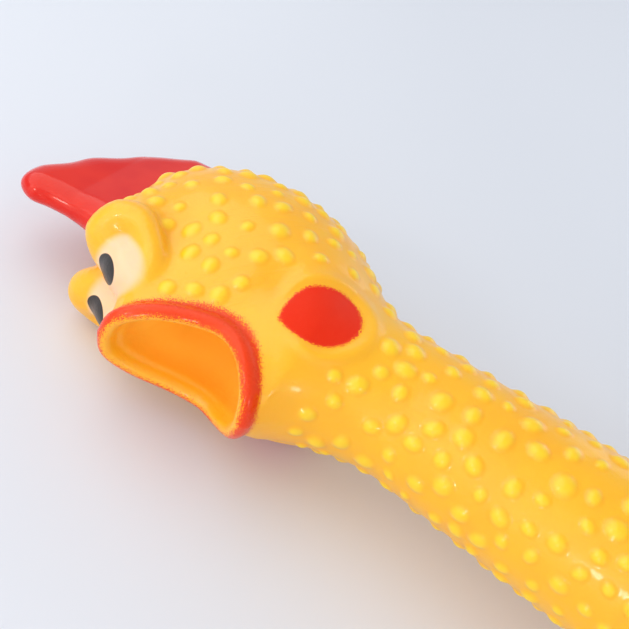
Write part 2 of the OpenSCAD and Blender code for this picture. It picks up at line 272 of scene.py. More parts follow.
def eye_axes(p):
    """Places measured from the middle of the left eye: along its look, sideways, up its face."""
    q = p - EYE
    up = np.array([-EYE_NORMAL[2], 0, EYE_NORMAL[0]])
    up -= EYE_NORMAL * (up @ EYE_NORMAL)
    up /= np.linalg.norm(up)
    across = np.cross(up, EYE_NORMAL)
    return np.stack([q @ EYE_NORMAL, q @ across, q @ up], axis=-1)


# heavy lid that wraps each eye, from the crease between the eyes over the top and down the outer side
BROW = [(23.0, 2.5, 73.0), (24.2, 6.5, 76.4), (23.2, 12.0, 78.2), (20.0, 17.0, 76.0), (19.3, 19.4, 70.0),
        (21.9, 18.0, 63.4), (25.6, 15.2, 58.8), (30.6, 10.2, 57.0)]
BROW_R = [2.2, 3.9, 5.6, 5.3, 4.2, 3.1, 2.2, 1.3]
RIGHT_BROW_EXTRA = 1.4
brow_path = curve(BROW, steps=4)
brow_r = np.interp(np.linspace(0, len(BROW) - 1, len(brow_path)), range(len(BROW)), BROW_R)

CHEEK = np.array([11.5, 20.9, 11.6])        # middle of the red patch on the side of the head
CHEEK_HALF = (12.3, 8.9)                    # along and across
CHEEK_LONG = np.array([0.763, -0.06, 0.643])      # towards its pointed end
CHEEK_OUT = np.array([0.42, 0.86, -0.29])
CHEEK_RIDGE = 0.9           # how high the ridge round it stands
CHEEK_RIDGE_OFF = 2.8       # how far outside its edge the ridge runs
CHEEK_RIDGE_HALF = 2.1
CHEEK_SWELL = 0.5           # how far the patch itself stands out
DENT_DEPTH = 1.4            # of the dip above the patch
DENT_FU = (12, 25)          # and its place
DENT_HALF = 6


def cheek_plane(p):
    """How far inside the cheek's red patch, the angle round it, and 1 on its side of the head."""
    q = p - CHEEK
    long = CHEEK_LONG / np.linalg.norm(CHEEK_LONG)
    out = CHEEK_OUT - long * (CHEEK_OUT @ long)
    out /= np.linalg.norm(out)
    across = np.cross(out, long)
    a, b = q @ long, q @ across
    x = a / CHEEK_HALF[0]
    y = b / (CHEEK_HALF[1] * np.clip(1.06 - 0.5 * np.maximum(x, 0) ** 2, 0.3, 2))
    side = np.clip(1 - (np.abs(q @ out) - 8) / 6, 0, 1)
    return (1 - np.hypot(x, y)) * CHEEK_HALF[1], np.arctan2(b, a), side


def neck_field(f, l, u):
    """Signed distance to the neck's side, without its ends."""
    return np.hypot(f, l) - (NECK_TOP_R - NECK_WIDENING * u)


def muzzle_field(outline, back):
    """Widens from the lips backwards, then closes again inside the skull."""
    flare = MUZZLE_FLARE * np.maximum(back, 0) - MUZZLE_CLOSING * np.maximum(back - MUZZLE_TURN, 0) ** 2
    return smooth_max(outline - 0.6 - flare, -back - 0.2, 3)


def cheek_relief(p, q):
    """How far the skin stands out at the cheek's red patch, and how far it dips above it."""
    inward, turn, side = cheek_plane(q)
    # the ridge is open towards the patch's point
    open_end = np.clip(1.3 - 1.5 * np.exp(-(turn / 0.8) ** 2), 0, 1)
    ridge = CHEEK_RIDGE * np.exp(-((inward + CHEEK_RIDGE_OFF) / CHEEK_RIDGE_HALF) ** 2) * open_end
    off_f, off_u = (p[..., 0] - DENT_FU[0]) / DENT_HALF, (q[..., 2] - DENT_FU[1]) / DENT_HALF
    dent = -DENT_DEPTH * np.exp(-off_f ** 2 - off_u ** 2) * np.clip((q[..., 1] - 12) / 6, 0, 1)
    return side * (ridge + CHEEK_SWELL * np.clip(inward / 6, 0, 1)), dent


def mouth_hollow(outline, back):
    """The open mouth, and the air in front of it."""
    hollow = smooth_max(outline + MOUTH_WALL + 0.10 * np.clip(back, 0, 60), back - MOUTH_DEPTH, 9)
    return np.where(back < -1, np.maximum(outline + 2.6, -back - 30), hollow)


def head_field(p):
    """Head and neck, without the bumps."""
    q = p.copy()
    q[..., 1] = np.abs(p[..., 1])
    f, l, u = q[..., 0], q[..., 1], q[..., 2]
    neck = smooth_max(neck_field(f, l, u), u - NECK_TOP_U, 18)
    d = smooth_min(ellipsoid(q, SKULL, SKULL_R), neck, NECK_BLEND)
    d = smooth_min(d, ellipsoid(q, THROAT, THROAT_R), THROAT_BLEND)
    d = smooth_min(d, ellipsoid(q, FOREHEAD, FOREHEAD_R), FOREHEAD_BLEND)

    # the muzzle grows out of the face to the lips, most softly below
    outline = rim_plane(l, u)
    back = rim_forward(u) - f
    softness = MUZZLE_BLEND + CHIN_BLEND_EXTRA * np.clip((30 - u) / 20, 0, 1)
    d = smooth_min(d, muzzle_field(outline, back), softness)
    # eyes stand on the muzzle and meet in a crease
    eye = ellipsoid(eye_axes(q), (0, 0, 0), EYE_R)
    d = smooth_min(d, smooth_max(eye, -l, 0.5), EYE_BLEND)
    # the right brow is a little the thicker
    right = np.clip(-p[..., 1] / 9, 0, 1)
    d = smooth_min(d, limb(q, brow_path, brow_r) - RIGHT_BROW_EXTRA * right, BROW_BLEND)
    raised, dent = cheek_relief(p, q)
    d = d - raised - dent
    d = smooth_min(d, mouth_rim_field(q), LIP_BLEND)
    d = smooth_max(d, -mouth_hollow(outline, back), MOUTH_BLEND)
    # the mouth leads down to the whistle
    low_u, high_u = WHISTLE_HOLE_U
    hole = np.maximum(np.hypot(f, l) - WHISTLE_HOLE_R, np.maximum(low_u - u, u - high_u))
    return smooth_max(d, -hole, 2.0)


# centre and radii of the body's two swellings
BREAST = (1, 0, -150)
BREAST_R = (32, 33, 34)
BELLY = (4, 0, -171)
BELLY_R = (40, 40, 39)
TAIL = [(-22, 0, -188), (-42, 0, -198), (-50, 0, -208)]
TAIL_R = (14, 7, 4)
SIDE_FEATHER = [(-30, 0, -188), (-47, 7, -200)]
SIDE_FEATHER_R = (8, 3.6)
THIGH_R = (16, 12.5, 6.6)
KNOB_R = 7.6            # of the hock
SHANK_R = (6.2, 5.0, 5.0)
ANKLE_R = 5.8
SCUTE_RISE = 0.35
SCUTE_PITCH = 4.6
TOES = [(0, 30.0), (-38, 25.5), (38, 25.5), (180, 13.5)]       # degrees from straight ahead, length
TOE_R = (4.6, 3.1, 2.5)
KNUCKLE_R = 3.5
CLAW_R = (2.0, 1.1)


def toe_field(q, sole, degrees, length):
    a = math.radians(degrees)
    out = np.array([math.cos(a), math.sin(a), 0])
    knuckle = sole + out * length * 0.55 + (0, 0, -1.0)
    tip = sole + out * (length - 3.5) - (0, 0, 3)
    toe = limb(q, [sole, knuckle, tip], TOE_R)
    toe = smooth_min(toe, np.linalg.norm(q - knuckle - (0, 0, 0.4), axis=-1) - KNUCKLE_R, 2)
    claw = limb(q, [tip, tip + out * 4.0 - (0, 0, 1.4)], CLAW_R)
    return smooth_min(toe, claw, 1.0)


def shank_and_foot_field(q):
    """The leg from its hock down."""
    u = q[..., 2]
    knob = np.linalg.norm(q - HOCK, axis=-1) - KNOB_R
    shank = limb(q, [HOCK, (HOCK + ANKLE) / 2, ANKLE], SHANK_R)
    # scutes: rings down the shank
    rings = np.sin(u * 2 * math.pi / SCUTE_PITCH) * np.clip((HOCK[2] - 6 - u) / 4, 0, 1)
    leg = smooth_min(knob, shank + SCUTE_RISE * rings, 4)
    leg = smooth_min(leg, np.linalg.norm(q - ANKLE, axis=-1) - ANKLE_R, 3)
    sole = ANKLE - (0, 0, 9)
    foot = None
    for degrees, length in TOES:
        toe = toe_field(q, sole, degrees, length)
        foot = toe if foot is None else smooth_min(foot, toe, 3)
    return smooth_min(leg, foot, 4)


def body_field(p):
    """Torso, tail and legs."""
    q = p.copy()
    q[..., 1] = np.abs(p[..., 1])
    d = smooth_min(ellipsoid(q, BREAST, BREAST_R), ellipsoid(q, BELLY, BELLY_R), 12)
    tail = smooth_min(limb(q, TAIL, TAIL_R), limb(q, SIDE_FEATHER, SIDE_FEATHER_R), 2.5)
    d = smooth_min(d, tail, 7)
    thigh = limb(q, [HIP + (0, 0, 6), (HIP + HOCK) / 2 + (0, 0, 4), HOCK], THIGH_R)
    d = smooth_min(d, thigh, 5)
    return smooth_min(d, shank_and_foot_field(q), 4)


# the head's field and the body's are mixed between these heights
MIX_TOP_U = -72.0
MIX_FOOT_U = -112.0


def skin_field(p):
    """The whole skin, worked out only where each part of it can reach."""
    u = p[..., 2]
    out = np.full(p.shape[:-1], NOTHING_NEAR)
    upper = u > MIX_FOOT_U
    lower = u < MIX_TOP_U
    if upper.any():
        out[upper] = head_field(p[upper])
    if lower.any():
        low = p[lower]
        neck = np.maximum(neck_field(low[:, 0], low[:, 1], low[:, 2]), NECK_FOOT_U - low[:, 2])
        d = smooth_min(neck, body_field(low), 16)
        share = np.clip((low[:, 2] - MIX_FOOT_U) / (MIX_TOP_U - MIX_FOOT_U), 0, 1)
        share = share * share * (3 - 2 * share)
        out[lower] = d * (1 - share) + np.where(upper[lower], out[lower], 0) * share
    return out


# ---------------------------------------- meshing

LAYERS = 24             # of the grid worked out at a time


def grid_values(field, low, high, step):
    """The field on a regular grid, worked out a few layers at a time."""
    axes = [np.arange(a, b + step, step) for a, b in zip(low, high)]
    values = np.empty([len(a) for a in axes], np.float32)
    f, l = np.meshgrid(axes[0], axes[1], indexing="ij")
    for k in range(0, len(axes[2]), LAYERS):
        u = axes[2][k:k + LAYERS]
        p = np.empty(f.shape + (len(u), 3))
        p[..., 0], p[..., 1], p[..., 2] = f[..., None], l[..., None], u
        values[:, :, k:k + LAYERS] = field(p.reshape(-1, 3)).reshape(f.shape + (len(u),))
    return values


def surface_net(field, low, high, step, rounds=2):
    """Quads over the field's zero surface, one vertex in each cell that the surface crosses."""
    v = grid_values(field, low, high, step)
    corners = [(i, j, k) for i in (0, 1) for j in (0, 1) for k in (0, 1)]
    shape = np.array(v.shape) - 1

    def window(c):
        return v[c[0]:c[0] + shape[0], c[1]:c[1] + shape[1], c[2]:c[2] + shape[2]]

    lowest = np.minimum.reduce([window(c) for c in corners])
    highest = np.maximum.reduce([window(c) for c in corners])
    cells = np.argwhere((lowest < 0) & (highest >= 0))
    number = np.full(shape, -1, int)
    number[tuple(cells.T)] = np.arange(len(cells))
    at = np.stack([v[tuple((cells + c).T)] for c in corners], axis=1)
    total, count = np.zeros((len(cells), 3)), np.zeros(len(cells))
    for a, ca in enumerate(corners):
        for b, cb in enumerate(corners):
            if b > a and sum(x != y for x, y in zip(ca, cb)) == 1:
                crossed = (at[:, a] < 0) != (at[:, b] < 0)
                t = at[crossed, a] / (at[crossed, a] - at[crossed, b])
                total[crossed] += np.array(ca) + t[:, None] * (np.array(cb) - ca)
                count[crossed] += 1
    points = np.array(low) + step * (cells + total / count[:, None])
    quads = []
    units = np.eye(3, dtype=int)
    for axis in range(3):
        a, b = (axis + 1) % 3, (axis + 2) % 3
        ahead, side_a, side_b = units[axis], units[a], units[b]
        top = np.array(v.shape) - ahead
        here = v[:top[0], :top[1], :top[2]]
        there = v[ahead[0]:, ahead[1]:, ahead[2]:]
        edges = np.argwhere((here < 0) != (there < 0))
        low_enough = (edges[:, a] < shape[a]) & (edges[:, b] < shape[b])
        edges = edges[(edges[:, a] > 0) & (edges[:, b] > 0) & low_enough]
        flip = v[tuple(edges.T)] >= 0
        round_edge = (0 * ahead, side_a, side_a + side_b, side_b)
        ring = np.stack([number[tuple((edges - o).T)] for o in round_edge], axis=1)
        ring[flip] = ring[flip][:, ::-1]
        quads.append(ring)
    quads = np.vstack(quads)
    for _ in range(rounds):
        points = relax(points, quads)
        points = settle(field, points)
    return points, quads


def relax(points, quads):
    """Moves each vertex half-way to the middle of its neighbours."""
    total, count = np.zeros_like(points), np.zeros(len(points))
    for a in range(4):
        for b in ((a + 1) % 4, (a + 3) % 4):
            np.add.at(total, quads[:, a], points[quads[:, b]])
            np.add.at(count, quads[:, a], 1)
    return 0.5 * points + 0.5 * total / np.maximum(count, 1)[:, None]


def slope(field, points, reach=0.25):
    """The field's gradient at each point."""
    g = np.empty_like(points)
    for a in range(3):
        step = np.zeros(3)
        step[a] = reach
        g[:, a] = (field(points + step) - field(points - step)) / (2 * reach)
    return g


def settle(field, points, limit=0.8):
    """Moves the vertices onto the zero surface."""
    d = field(points)
    g = slope(field, points)
    move = d[:, None] * g / np.maximum((g * g).sum(1), 0.15)[:, None]
    size = np.linalg.norm(move, axis=1)
    return points - move * np.minimum(1, limit / np.maximum(size, 1e-9))[:, None]


def split(points, quads):
    """Each quad becomes four."""
    n = len(points)
    pairs = np.sort(np.vstack([quads[:, [a, (a + 1) % 4]] for a in range(4)]), axis=1)
    keys, back = np.unique(pairs[:, 0] * n + pairs[:, 1], return_inverse=True)
    middle = 0.5 * (points[keys // n] + points[keys % n])
    centre = points[quads].mean(axis=1)
    edge = n + back.reshape(4, -1)
    face = n + len(keys) + np.arange(len(quads))
    parts = [np.stack([quads[:, a], edge[a], face, edge[(a + 3) % 4]], axis=1) for a in range(4)]
    return np.vstack([points, middle, centre]), np.vstack(parts)


# ---------------------------------------- bumps

def bumpy(p):
    """1 where the skin carries bumps, 0 where it is smooth."""
    f, l, u = p[:, 0], np.abs(p[:, 1]), p[:, 2]
    q = np.stack([f, l, u], axis=1)
    away_from_mouth = np.maximum(rim_plane(l, u), 0) + np.clip(rim_forward(u) - f - 3, 0, 100)
    # behind the mouth only the back of the skull has bumps
    off_mouth = np.clip((away_from_mouth - 5.5) / 3, 0, 1) * ((rim_plane(l, u) > -2) | (f < -16))
    off_eyes = np.clip((ellipsoid(eye_axes(q), (0, 0, 0), EYE_R) - 5.5) / 2, 0, 1)
    off_brows = np.clip((limb(q, brow_path, brow_r) - 2.0) / 2, 0, 1)
    inward, _, side = cheek_plane(q)
    off_cheek = np.clip(1 - side + np.clip((-inward - 6.0) / 2, 0, 1), 0, 1)
    off_legs = np.clip((u + 205) / 6, 0, 1)
    chin = np.clip((f - 8) / 5, 0, 1) * np.clip((u + 2) / 4, 0, 1) * np.clip((34 - u) / 6, 0, 1)
    return off_mouth * off_eyes * off_brows * off_cheek * off_legs * (1 - chin)


def bump_places(points, rng):
    """Places spread over the skin, no two nearer than the spacing."""
    ok = np.flatnonzero(bumpy(points) > 0.6)
    rng.shuffle(ok)
    taken, places = {}, []
    cell = BUMP_SPACING
    for i in ok:
        p = points[i]
        key = tuple((p // cell).astype(int))
        near = (q for a in (-1, 0, 1) for b in (-1, 0, 1) for c in (-1, 0, 1)
                for q in taken.get((key[0] + a, key[1] + b, key[2] + c), ()))
        if all((p[0] - q[0]) ** 2 + (p[1] - q[1]) ** 2 + (p[2] - q[2]) ** 2 > cell * cell for q in near):
            taken.setdefault(key, []).append(p)
            places.append(p)
    return np.array(places)


def raise_bumps(points, field, rng, places):
    """Lifts the skin into low domes; returns the new points and how far up its dome each one is."""
    tree = KDTree(len(places))
    for i, p in enumerate(places):
        tree.insert(p, i)
    tree.balance()
    size = rng.uniform(*BUMP_SIZES, len(places))
    stretch = rng.normal(size=(len(places), 3))
    stretch *= BUMP_STRETCH / np.linalg.norm(stretch, axis=1)[:, None]
    which = np.array([tree.find(p)[1] for p in points])
    away = points - places[which]
    distance = np.sqrt((away * away).sum(1) + (away * stretch[which]).sum(1) ** 2)
    x = np.clip(distance / (BUMP_R * size[which]), 0, 1)
    dome = (1 - x * x) ** BUMP_FOOT
    near = np.flatnonzero(dome > 0)
    g = slope(field, points[near])
    g /= np.maximum(np.linalg.norm(g, axis=1), 1e-6)[:, None]
    out = points.copy()
    out[near] += g * (BUMP_HEIGHT * dome[near] * size[which[near]])[:, None]
    return out, dome


# ---------------------------------------- Blender meshes

def make_mesh(name, points, quads, attributes, material):
    """An object of the quads given, with each attribute on its vertices."""
    used = np.unique(quads)
    number = np.full(len(points), -1)
    number[used] = np.arange(len(used))
    mesh = bpy.data.meshes.new(name)
    mesh.vertices.add(len(used))
    corners = world(points[used])
    corners[:, 2] = np.maximum(corners[:, 2], CONTACT_Z)
    mesh.vertices.foreach_set("co", corners.astype(np.float32).ravel())
    mesh.loops.add(quads.size)
    mesh.loops.foreach_set("vertex_index", number[quads].astype(np.int32).ravel())
    mesh.polygons.add(len(quads))
    mesh.polygons.foreach_set("loop_start", np.arange(0, quads.size, 4, dtype=np.int32))
    mesh.polygons.foreach_set("use_smooth", np.ones(len(quads), bool))
    mesh.update(calc_edges=True)
    mesh.validate()
    for key, value in attributes.items():
        kind = "FLOAT_VECTOR" if value.ndim == 2 else "FLOAT"
        a = mesh.attributes.new(key, kind, "POINT")
        a.data.foreach_set("vector" if value.ndim == 2 else "value", value[used].astype(np.float32).ravel())
    o = bpy.data.objects.new(name, mesh)
    bpy.context.scene.collection.objects.link(o)
    mesh.materials.append(material)
    return o


# ---------------------------------------- materials

class Nodes:
    """Builds a node tree with short calls. An input called _0 is the socket at place 0."""

    def __init__(self, name):
        self.material = bpy.data.materials.new(name)
        self.material.use_nodes = True
        self.tree = self.material.node_tree
        self.shader = self.tree.nodes["Principled BSDF"]

    def new(self, kind, **inputs):
        n = self.tree.nodes.new(kind)
        for key, value in inputs.items():
            socket = int(key[1:]) if key[0] == "_" else key.replace("_", " ")
            self.put(n.inputs[socket], value)
        return n

    def put(self, socket, value):
        if isinstance(value, bpy.types.NodeSocket):
            self.tree.links.new(value, socket)
        elif isinstance(value, bpy.types.Node):
            self.tree.links.new(value.outputs[0], socket)
        else:
            socket.default_value = value

    def set(self, **inputs):
        for key, value in inputs.items():
            self.put(self.shader.inputs[key.replace("_", " ")], value)

    def attribute(self, name, vector=False):
        n = self.tree.nodes.new("ShaderNodeAttribute")
        n.attribute_name = name
        return n.outputs["Vector" if vector else "Fac"]

    def math(self, operation, a, b):
        n = self.new("ShaderNodeMath", _0=a, _1=b)
        n.operation = operation
        return n.outputs[0]

    def plus(self, a, b):
        return self.math("ADD", a, b)

    def times(self, a, b):
        return self.math("MULTIPLY", a, b)

    def rest_of(self, a):
        """What is left of 1."""
        return self.math("SUBTRACT", 1.0, a)

    def noise(self, where, scale, detail=2.0):
        n = self.new("ShaderNodeTexNoise", Vector=where, Scale=scale, Detail=detail)
        return n.outputs[0]

    def edge(self, value, low, high):
        """0 below low, 1 above high, smooth between."""
        n = self.new("ShaderNodeMapRange", Value=value, From_Min=low, From_Max=high)
        n.interpolation_type = "SMOOTHSTEP"
        return n.outputs[0]

    def mix(self, factor, a, b):
        n = self.tree.nodes.new("ShaderNodeMix")
        n.data_type = "RGBA"
        self.put(n.inputs[0], factor)
        self.put(n.inputs[6], a)
        self.put(n.inputs[7], b)
        return n.outputs[2]


def rgb(r, g, b):
    """Linear colour of an 8-bit screen colour."""
    def linear(c):
        c = c / 255
        return c / 12.92 if c <= 0.04045 else ((c + 0.055) / 1.055) ** 2.4

    return (linear(r), linear(g), linear(b), 1)


def warmer(colour, factor):
    """The colour with less green and blue."""
    return (colour[0], colour[1] * factor, colour[2] * factor, 1)


YELLOW = rgb(255, 185, 9)
# lighter yellow on the tops of the bumps: a painted highlight
BUMP_PAINTED_HIGHLIGHT = rgb(255, 203, 18)
# the mouth's own orange, painted paler deep in the hollow as painted light against its shade; also the
# colour of the mouth's painted glow
MOUTH_ORANGE_PAINTED_LIGHT = rgb(255, 196, 66)
LIP_ORANGE = rgb(255, 172, 34)
PAINT_RED = rgb(230, 43, 16)
COMB_RED = rgb(214, 20, 10)
COMB_RED_LIGHT = rgb(222, 34, 16)
FOOT_RED = rgb(232, 66, 24)
CREAM = rgb(250, 204, 158)
PUPIL_BROWN = rgb(22, 13, 6)
WHITE = rgb(255, 255, 255)
WARM_GLOSS = rgb(255, 170, 130)         # what red paint reflects
SHEEN_TINT = rgb(255, 214, 180)
WHISTLE_WHITE = rgb(235, 234, 226)
REED_GREY = rgb(214, 220, 214)
PAPER = rgb(222, 224, 229)
PAPER_LIGHT = rgb(226, 228, 232)
STUDIO_AIR = rgb(226, 232, 242)

VINYL_ROUGHNESS = 0.33
VINYL_GLOSS = 0.3       # weight of the clear coat
VINYL_SHEEN = 0.1
PATCH_ROUGHER = 0.2     # the sprayed cheek is matt
LIP_SMOOTHER = 0.1
# strength of the painted glow inside the mouth
PAINTED_MOUTH_GLOW = 0.1
EDGE_BLUR = 0.25        # half the width of a sprayed speck's edge, in millimetres
FLOW_LINE_TURN = math.radians(39)
FLOW_LINE_SPREAD = (0.05, 0.06, 0.85)   # long, long and short across the skull


def speckled(n, value, fine, coarse, grain):
    """Edge of a sprayed patch: value is the distance inside it, broken up by grain."""
    specks = n.times(n.math("SUBTRACT", fine, 0.5), 4.4 * grain)
    blots = n.times(n.math("SUBTRACT", coarse, 0.5), grain)
    return n.edge(n.plus(value, n.plus(specks, blots)), -EDGE_BLUR, EDGE_BLUR)


def skin_colour(n, rest, fine, coarse):
    deep = n.attribute("deep")
    lip = n.times(speckled(n, n.attribute("lip"), fine, coarse, grain=1.5), 0.94)
    cheek = speckled(n, n.attribute("cheek"), fine, coarse, grain=0.6)
    colour = n.mix(n.edge(n.noise(rest, 0.05), 0.35, 0.7), YELLOW, warmer(YELLOW, 0.93))
    for share, paint in (
            # painted highlight: the bumps' tops are a lighter yellow
            (n.edge(n.attribute("bump"), 0.05, 0.8), BUMP_PAINTED_HIGHLIGHT),
            (n.edge(deep, -2.0, 6.0), LIP_ORANGE),
            # deeper in the mouth the orange turns paler: painted light against the hollow's shade
            (n.edge(deep, 4.0, 16.0), MOUTH_ORANGE_PAINTED_LIGHT),
            (n.edge(n.attribute("eye"), -2.2, 1.6), CREAM),
            (n.edge(n.attribute("pupil"), -0.12, 0.12), PUPIL_BROWN),
            (lip, PAINT_RED),
            (cheek, PAINT_RED),
            (n.edge(n.attribute("foot"), -4.0, 4.0), FOOT_RED)):
        colour = n.mix(share, colour, paint)
    return colour


def skin_relief(n, rest, fine, painted):
    """Fine unevenness, faint flow lines of the mould round the skull, and the grain of sprayed paint."""
    turned = n.new("ShaderNodeMapping", Vector=rest, Rotation=(0, FLOW_LINE_TURN, 0))
    across = n.new("ShaderNodeVectorMath", _0=turned, _1=FLOW_LINE_SPREAD)
    across.operation = "MULTIPLY"
    lines = n.times(n.edge(n.noise(across, 1.0), 0.56, 0.62), n.edge(n.attribute("skull"), 0, 1))
    height = n.plus(n.plus(n.noise(rest, 0.9, 3.0), lines), n.times(fine, painted))
    return n.new("ShaderNodeBump", Strength=0.2, Distance=0.0004, Height=height)


def skin_material():
    n = Nodes("vinyl_skin")
    rest = n.attribute("rest_mm", vector=True)
    fine = n.noise(rest, 3.2, 1.0)
    coarse = n.noise(rest, 0.45)
    patch = n.edge(n.attribute("cheek"), -1, 1)
    lip = n.edge(n.attribute("lip"), -1, 1)
    painted = n.math("MAXIMUM", lip, patch)
    plain_rough = n.plus(VINYL_ROUGHNESS, n.times(coarse, 0.1))
    paint_rough = n.math("SUBTRACT", n.times(patch, PATCH_ROUGHER), n.times(lip, LIP_SMOOTHER))
    n.set(Base_Color=skin_colour(n, rest, fine, coarse))
    n.set(Roughness=n.plus(paint_rough, plain_rough), IOR=1.47)
    n.set(Subsurface_Weight=0.4, Subsurface_Scale=0.006, Subsurface_Radius=(1.0, 0.6, 0.14))
    n.set(Coat_Weight=n.times(n.rest_of(patch), VINYL_GLOSS), Coat_Roughness=0.09)
    n.set(Sheen_Weight=n.times(n.rest_of(painted), VINYL_SHEEN), Sheen_Roughness=0.45, Sheen_Tint=SHEEN_TINT)
    n.set(Specular_Tint=n.mix(painted, WHITE, WARM_GLOSS))
    # painted light: the inside of the mouth glows orange, standing in for light that would come through its
    # thin wall
    through = n.times(n.edge(n.attribute("deep"), 2.0, 14.0), PAINTED_MOUTH_GLOW)
    n.set(Emission_Color=MOUTH_ORANGE_PAINTED_LIGHT, Emission_Strength=through)
    n.set(Normal=skin_relief(n, rest, fine, painted))
    return n.material


def comb_material():
    n = Nodes("comb_vinyl")
    cloud = n.noise(n.attribute("rest_mm", vector=True), 0.08)
    n.set(Base_Color=n.mix(n.edge(cloud, 0.3, 0.7), COMB_RED, COMB_RED_LIGHT), Roughness=0.2, IOR=1.45)
    n.set(Subsurface_Weight=0.25, Subsurface_Scale=0.004, Subsurface_Radius=(1.0, 0.3, 0.15))
    n.set(Specular_Tint=WARM_GLOSS, Coat_Weight=0.5, Coat_Roughness=0.12)
    return n.material


def plastic_material(name, colour, roughness):
    n = Nodes(name)
    where = n.new("ShaderNodeTexCoord").outputs["Object"]
    cloud = n.noise(where, 220.0, 3.0)
    n.set(Base_Color=n.mix(cloud, colour, warmer(colour, 0.96)), Roughness=roughness, IOR=1.46)
    return n.material


# ---------------------------------------- the skin

SKIN_LOW, SKIN_HIGH = (-60, -48, -304), (50, 48, 96)       # corners of the space it is meshed in
rng = np.random.default_rng(7)
points, quads = surface_net(skin_field, SKIN_LOW, SKIN_HIGH, SKIN_STEP)
places = bump_places(points, rng)
points, quads = split(points, quads)
points = settle(skin_field, points)
rest = points.copy()
points, dome = raise_bumps(points, skin_field, rng, places)


def skin_attributes(p, dome):
    """Masks for the material: distances in millimetres inside each zone, or shares from 0 to 1."""
    q = p.copy()
    q[:, 1] = np.abs(p[:, 1])
    outline, back = rim_plane(q[:, 1], q[:, 2]), rim_forward(q[:, 2]) - q[:, 0]
    on_lips = (back < 12) & (outline < 8)
    in_mouth = (outline < 0) & (back > -4) & (back < 45)
    on_face = (q[:, 0] > 10) & (outline > -1)
    e = eye_axes(q)
    off_eye = 2 * np.maximum(ellipsoid(e, (0, 0, 0), EYE_R), 0)
    pupil_r = np.hypot(e[:, 1] / PUPIL_HALF[0], e[:, 2] / PUPIL_HALF[1])
    inward, _, side = cheek_plane(q)
    return {
        "rest_mm": p,
        "bump": dome,
        "lip": np.where(on_lips, np.minimum(outline - 0.1, 4.6 - back), MASK_OFF),
        "deep": np.where(in_mouth, -outline - 0.2 + np.maximum(back, 0) * 0.9, -5.0),
        "eye": np.where(on_face, 2.0 - off_eye, MASK_OFF),
        "pupil": np.where(e[:, 0] > 2, (1 - pupil_r) * PUPIL_HALF[0], MASK_OFF),
        "cheek": np.where(side > 0.3, inward, MASK_OFF),
        "skull": np.clip((q[:, 2] - 18) / 14, 0, 1) * np.clip((q[:, 1] - 12) / 8, 0, 1),
        "foot": (ANKLE[2] + 10) - q[:, 2],
    }


attributes = skin_attributes(rest, dome)
vinyl = skin_material()

SHOULDER_SEAM_U = -126.0
LEG_SEAM_U = -213.0
TAIL_F = -24.0          # the tail is behind this
TAIL_FOOT_U = -225.0    # and above this
MID_THIGH_U = (HIP[2] + HOCK[2]) / 2 - 6
MID_SHANK_U = (HOCK[2] + ANKLE[2]) / 2 - 4

middle = rest[quads].mean(axis=1)
u, l = middle[:, 2], middle[:, 1]
not_tail = (middle[:, 0] > TAIL_F) | (u < TAIL_FOOT_U)
in_head = u > HEAD_SEAM_U
in_neck = (u <= HEAD_SEAM_U) & (u > SHOULDER_SEAM_U)
in_leg = {side: (u < LEG_SEAM_U) & (l * s > 0) & not_tail for side, s in SIDES}
in_torso = (u <= SHOULDER_SEAM_U) & ~in_leg["left"] & ~in_leg["right"]


def piece(name, keep):
    return make_mesh(name, points, quads[keep], attributes, vinyl)


head_skin = piece("head_skin", in_head)
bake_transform(head_skin)
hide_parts("head_shell", "mouth_rim", "left_eye", "right_eye", "left_ear_lobe", "right_ear_lobe")

neck_skin = piece("neck_skin", in_neck)
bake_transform(neck_skin)
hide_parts("neck_shell")

torso_skin = piece("torso_skin", in_torso)
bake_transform(torso_skin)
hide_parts("torso_shell", "belly_panel")

for side, s in SIDES:
    mine = in_leg[side]

    thigh = piece(f"{side}_thigh_skin", mine & (u > MID_THIGH_U - 4))
    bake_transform(thigh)
    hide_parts(f"{side}_thigh")
    knee = piece(f"{side}_knee_skin", mine & (u <= MID_THIGH_U - 4) & (u > MID_SHANK_U))
    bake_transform(knee)
    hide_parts(f"{side}_shank")
    foot = piece(f"{side}_foot_skin", mine & (u <= MID_SHANK_U))
    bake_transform(foot)
    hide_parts(f"{side}_foot")


# ---------------------------------------- comb

# outline from its front tip backwards over the points, then round under the skull: [f, u]
COMB = [(17.0, 112.0), (14.0, 118.0), (6, 118.8), (-3, 114.6), (-11, 112.2), (-19, 106.6), (-27, 102.2),
        (-34, 94.6), (-39, 86.5), (-34, 72.0), (0, 72.0), (13, 80.0), (13.5, 95.0), (15, 105)]
COMB_HALF = 4.9
COMB_ROUNDING = 7.5     # how far in from the outline it thins out
COMB_SWELL = 0.035      # how much thicker it gets for each mm down
comb_plane = Plane2D(curve(COMB, closed=True, steps=6), (-60, 55), (35, 135))


def comb_field(p):
    inside = -comb_plane(p[:, 0], p[:, 2])
    swell = 1 + COMB_SWELL * np.clip(100 - p[:, 2], 0, 30)
    across = np.abs(p[:, 1]) * COMB_ROUNDING / (COMB_HALF * swell)
    round_edge = np.hypot(np.maximum(COMB_ROUNDING - inside, 0), across) - COMB_ROUNDING
    return round_edge * COMB_HALF / COMB_ROUNDING


COMB_LOW, COMB_HIGH = (-50, -12, 68), (24, 12, 124)
COMB_STEP = 1.2
points_c, quads_c = surface_net(comb_field, COMB_LOW, COMB_HIGH, COMB_STEP, rounds=3)
points_c, quads_c = split(points_c, quads_c)
points_c = settle(comb_field, points_c)
comb = make_mesh("comb_vinyl", points_c, quads_c, {"rest_mm": points_c}, comb_material())
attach(comb, "head")
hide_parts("comb")


# ---------------------------------------- wings

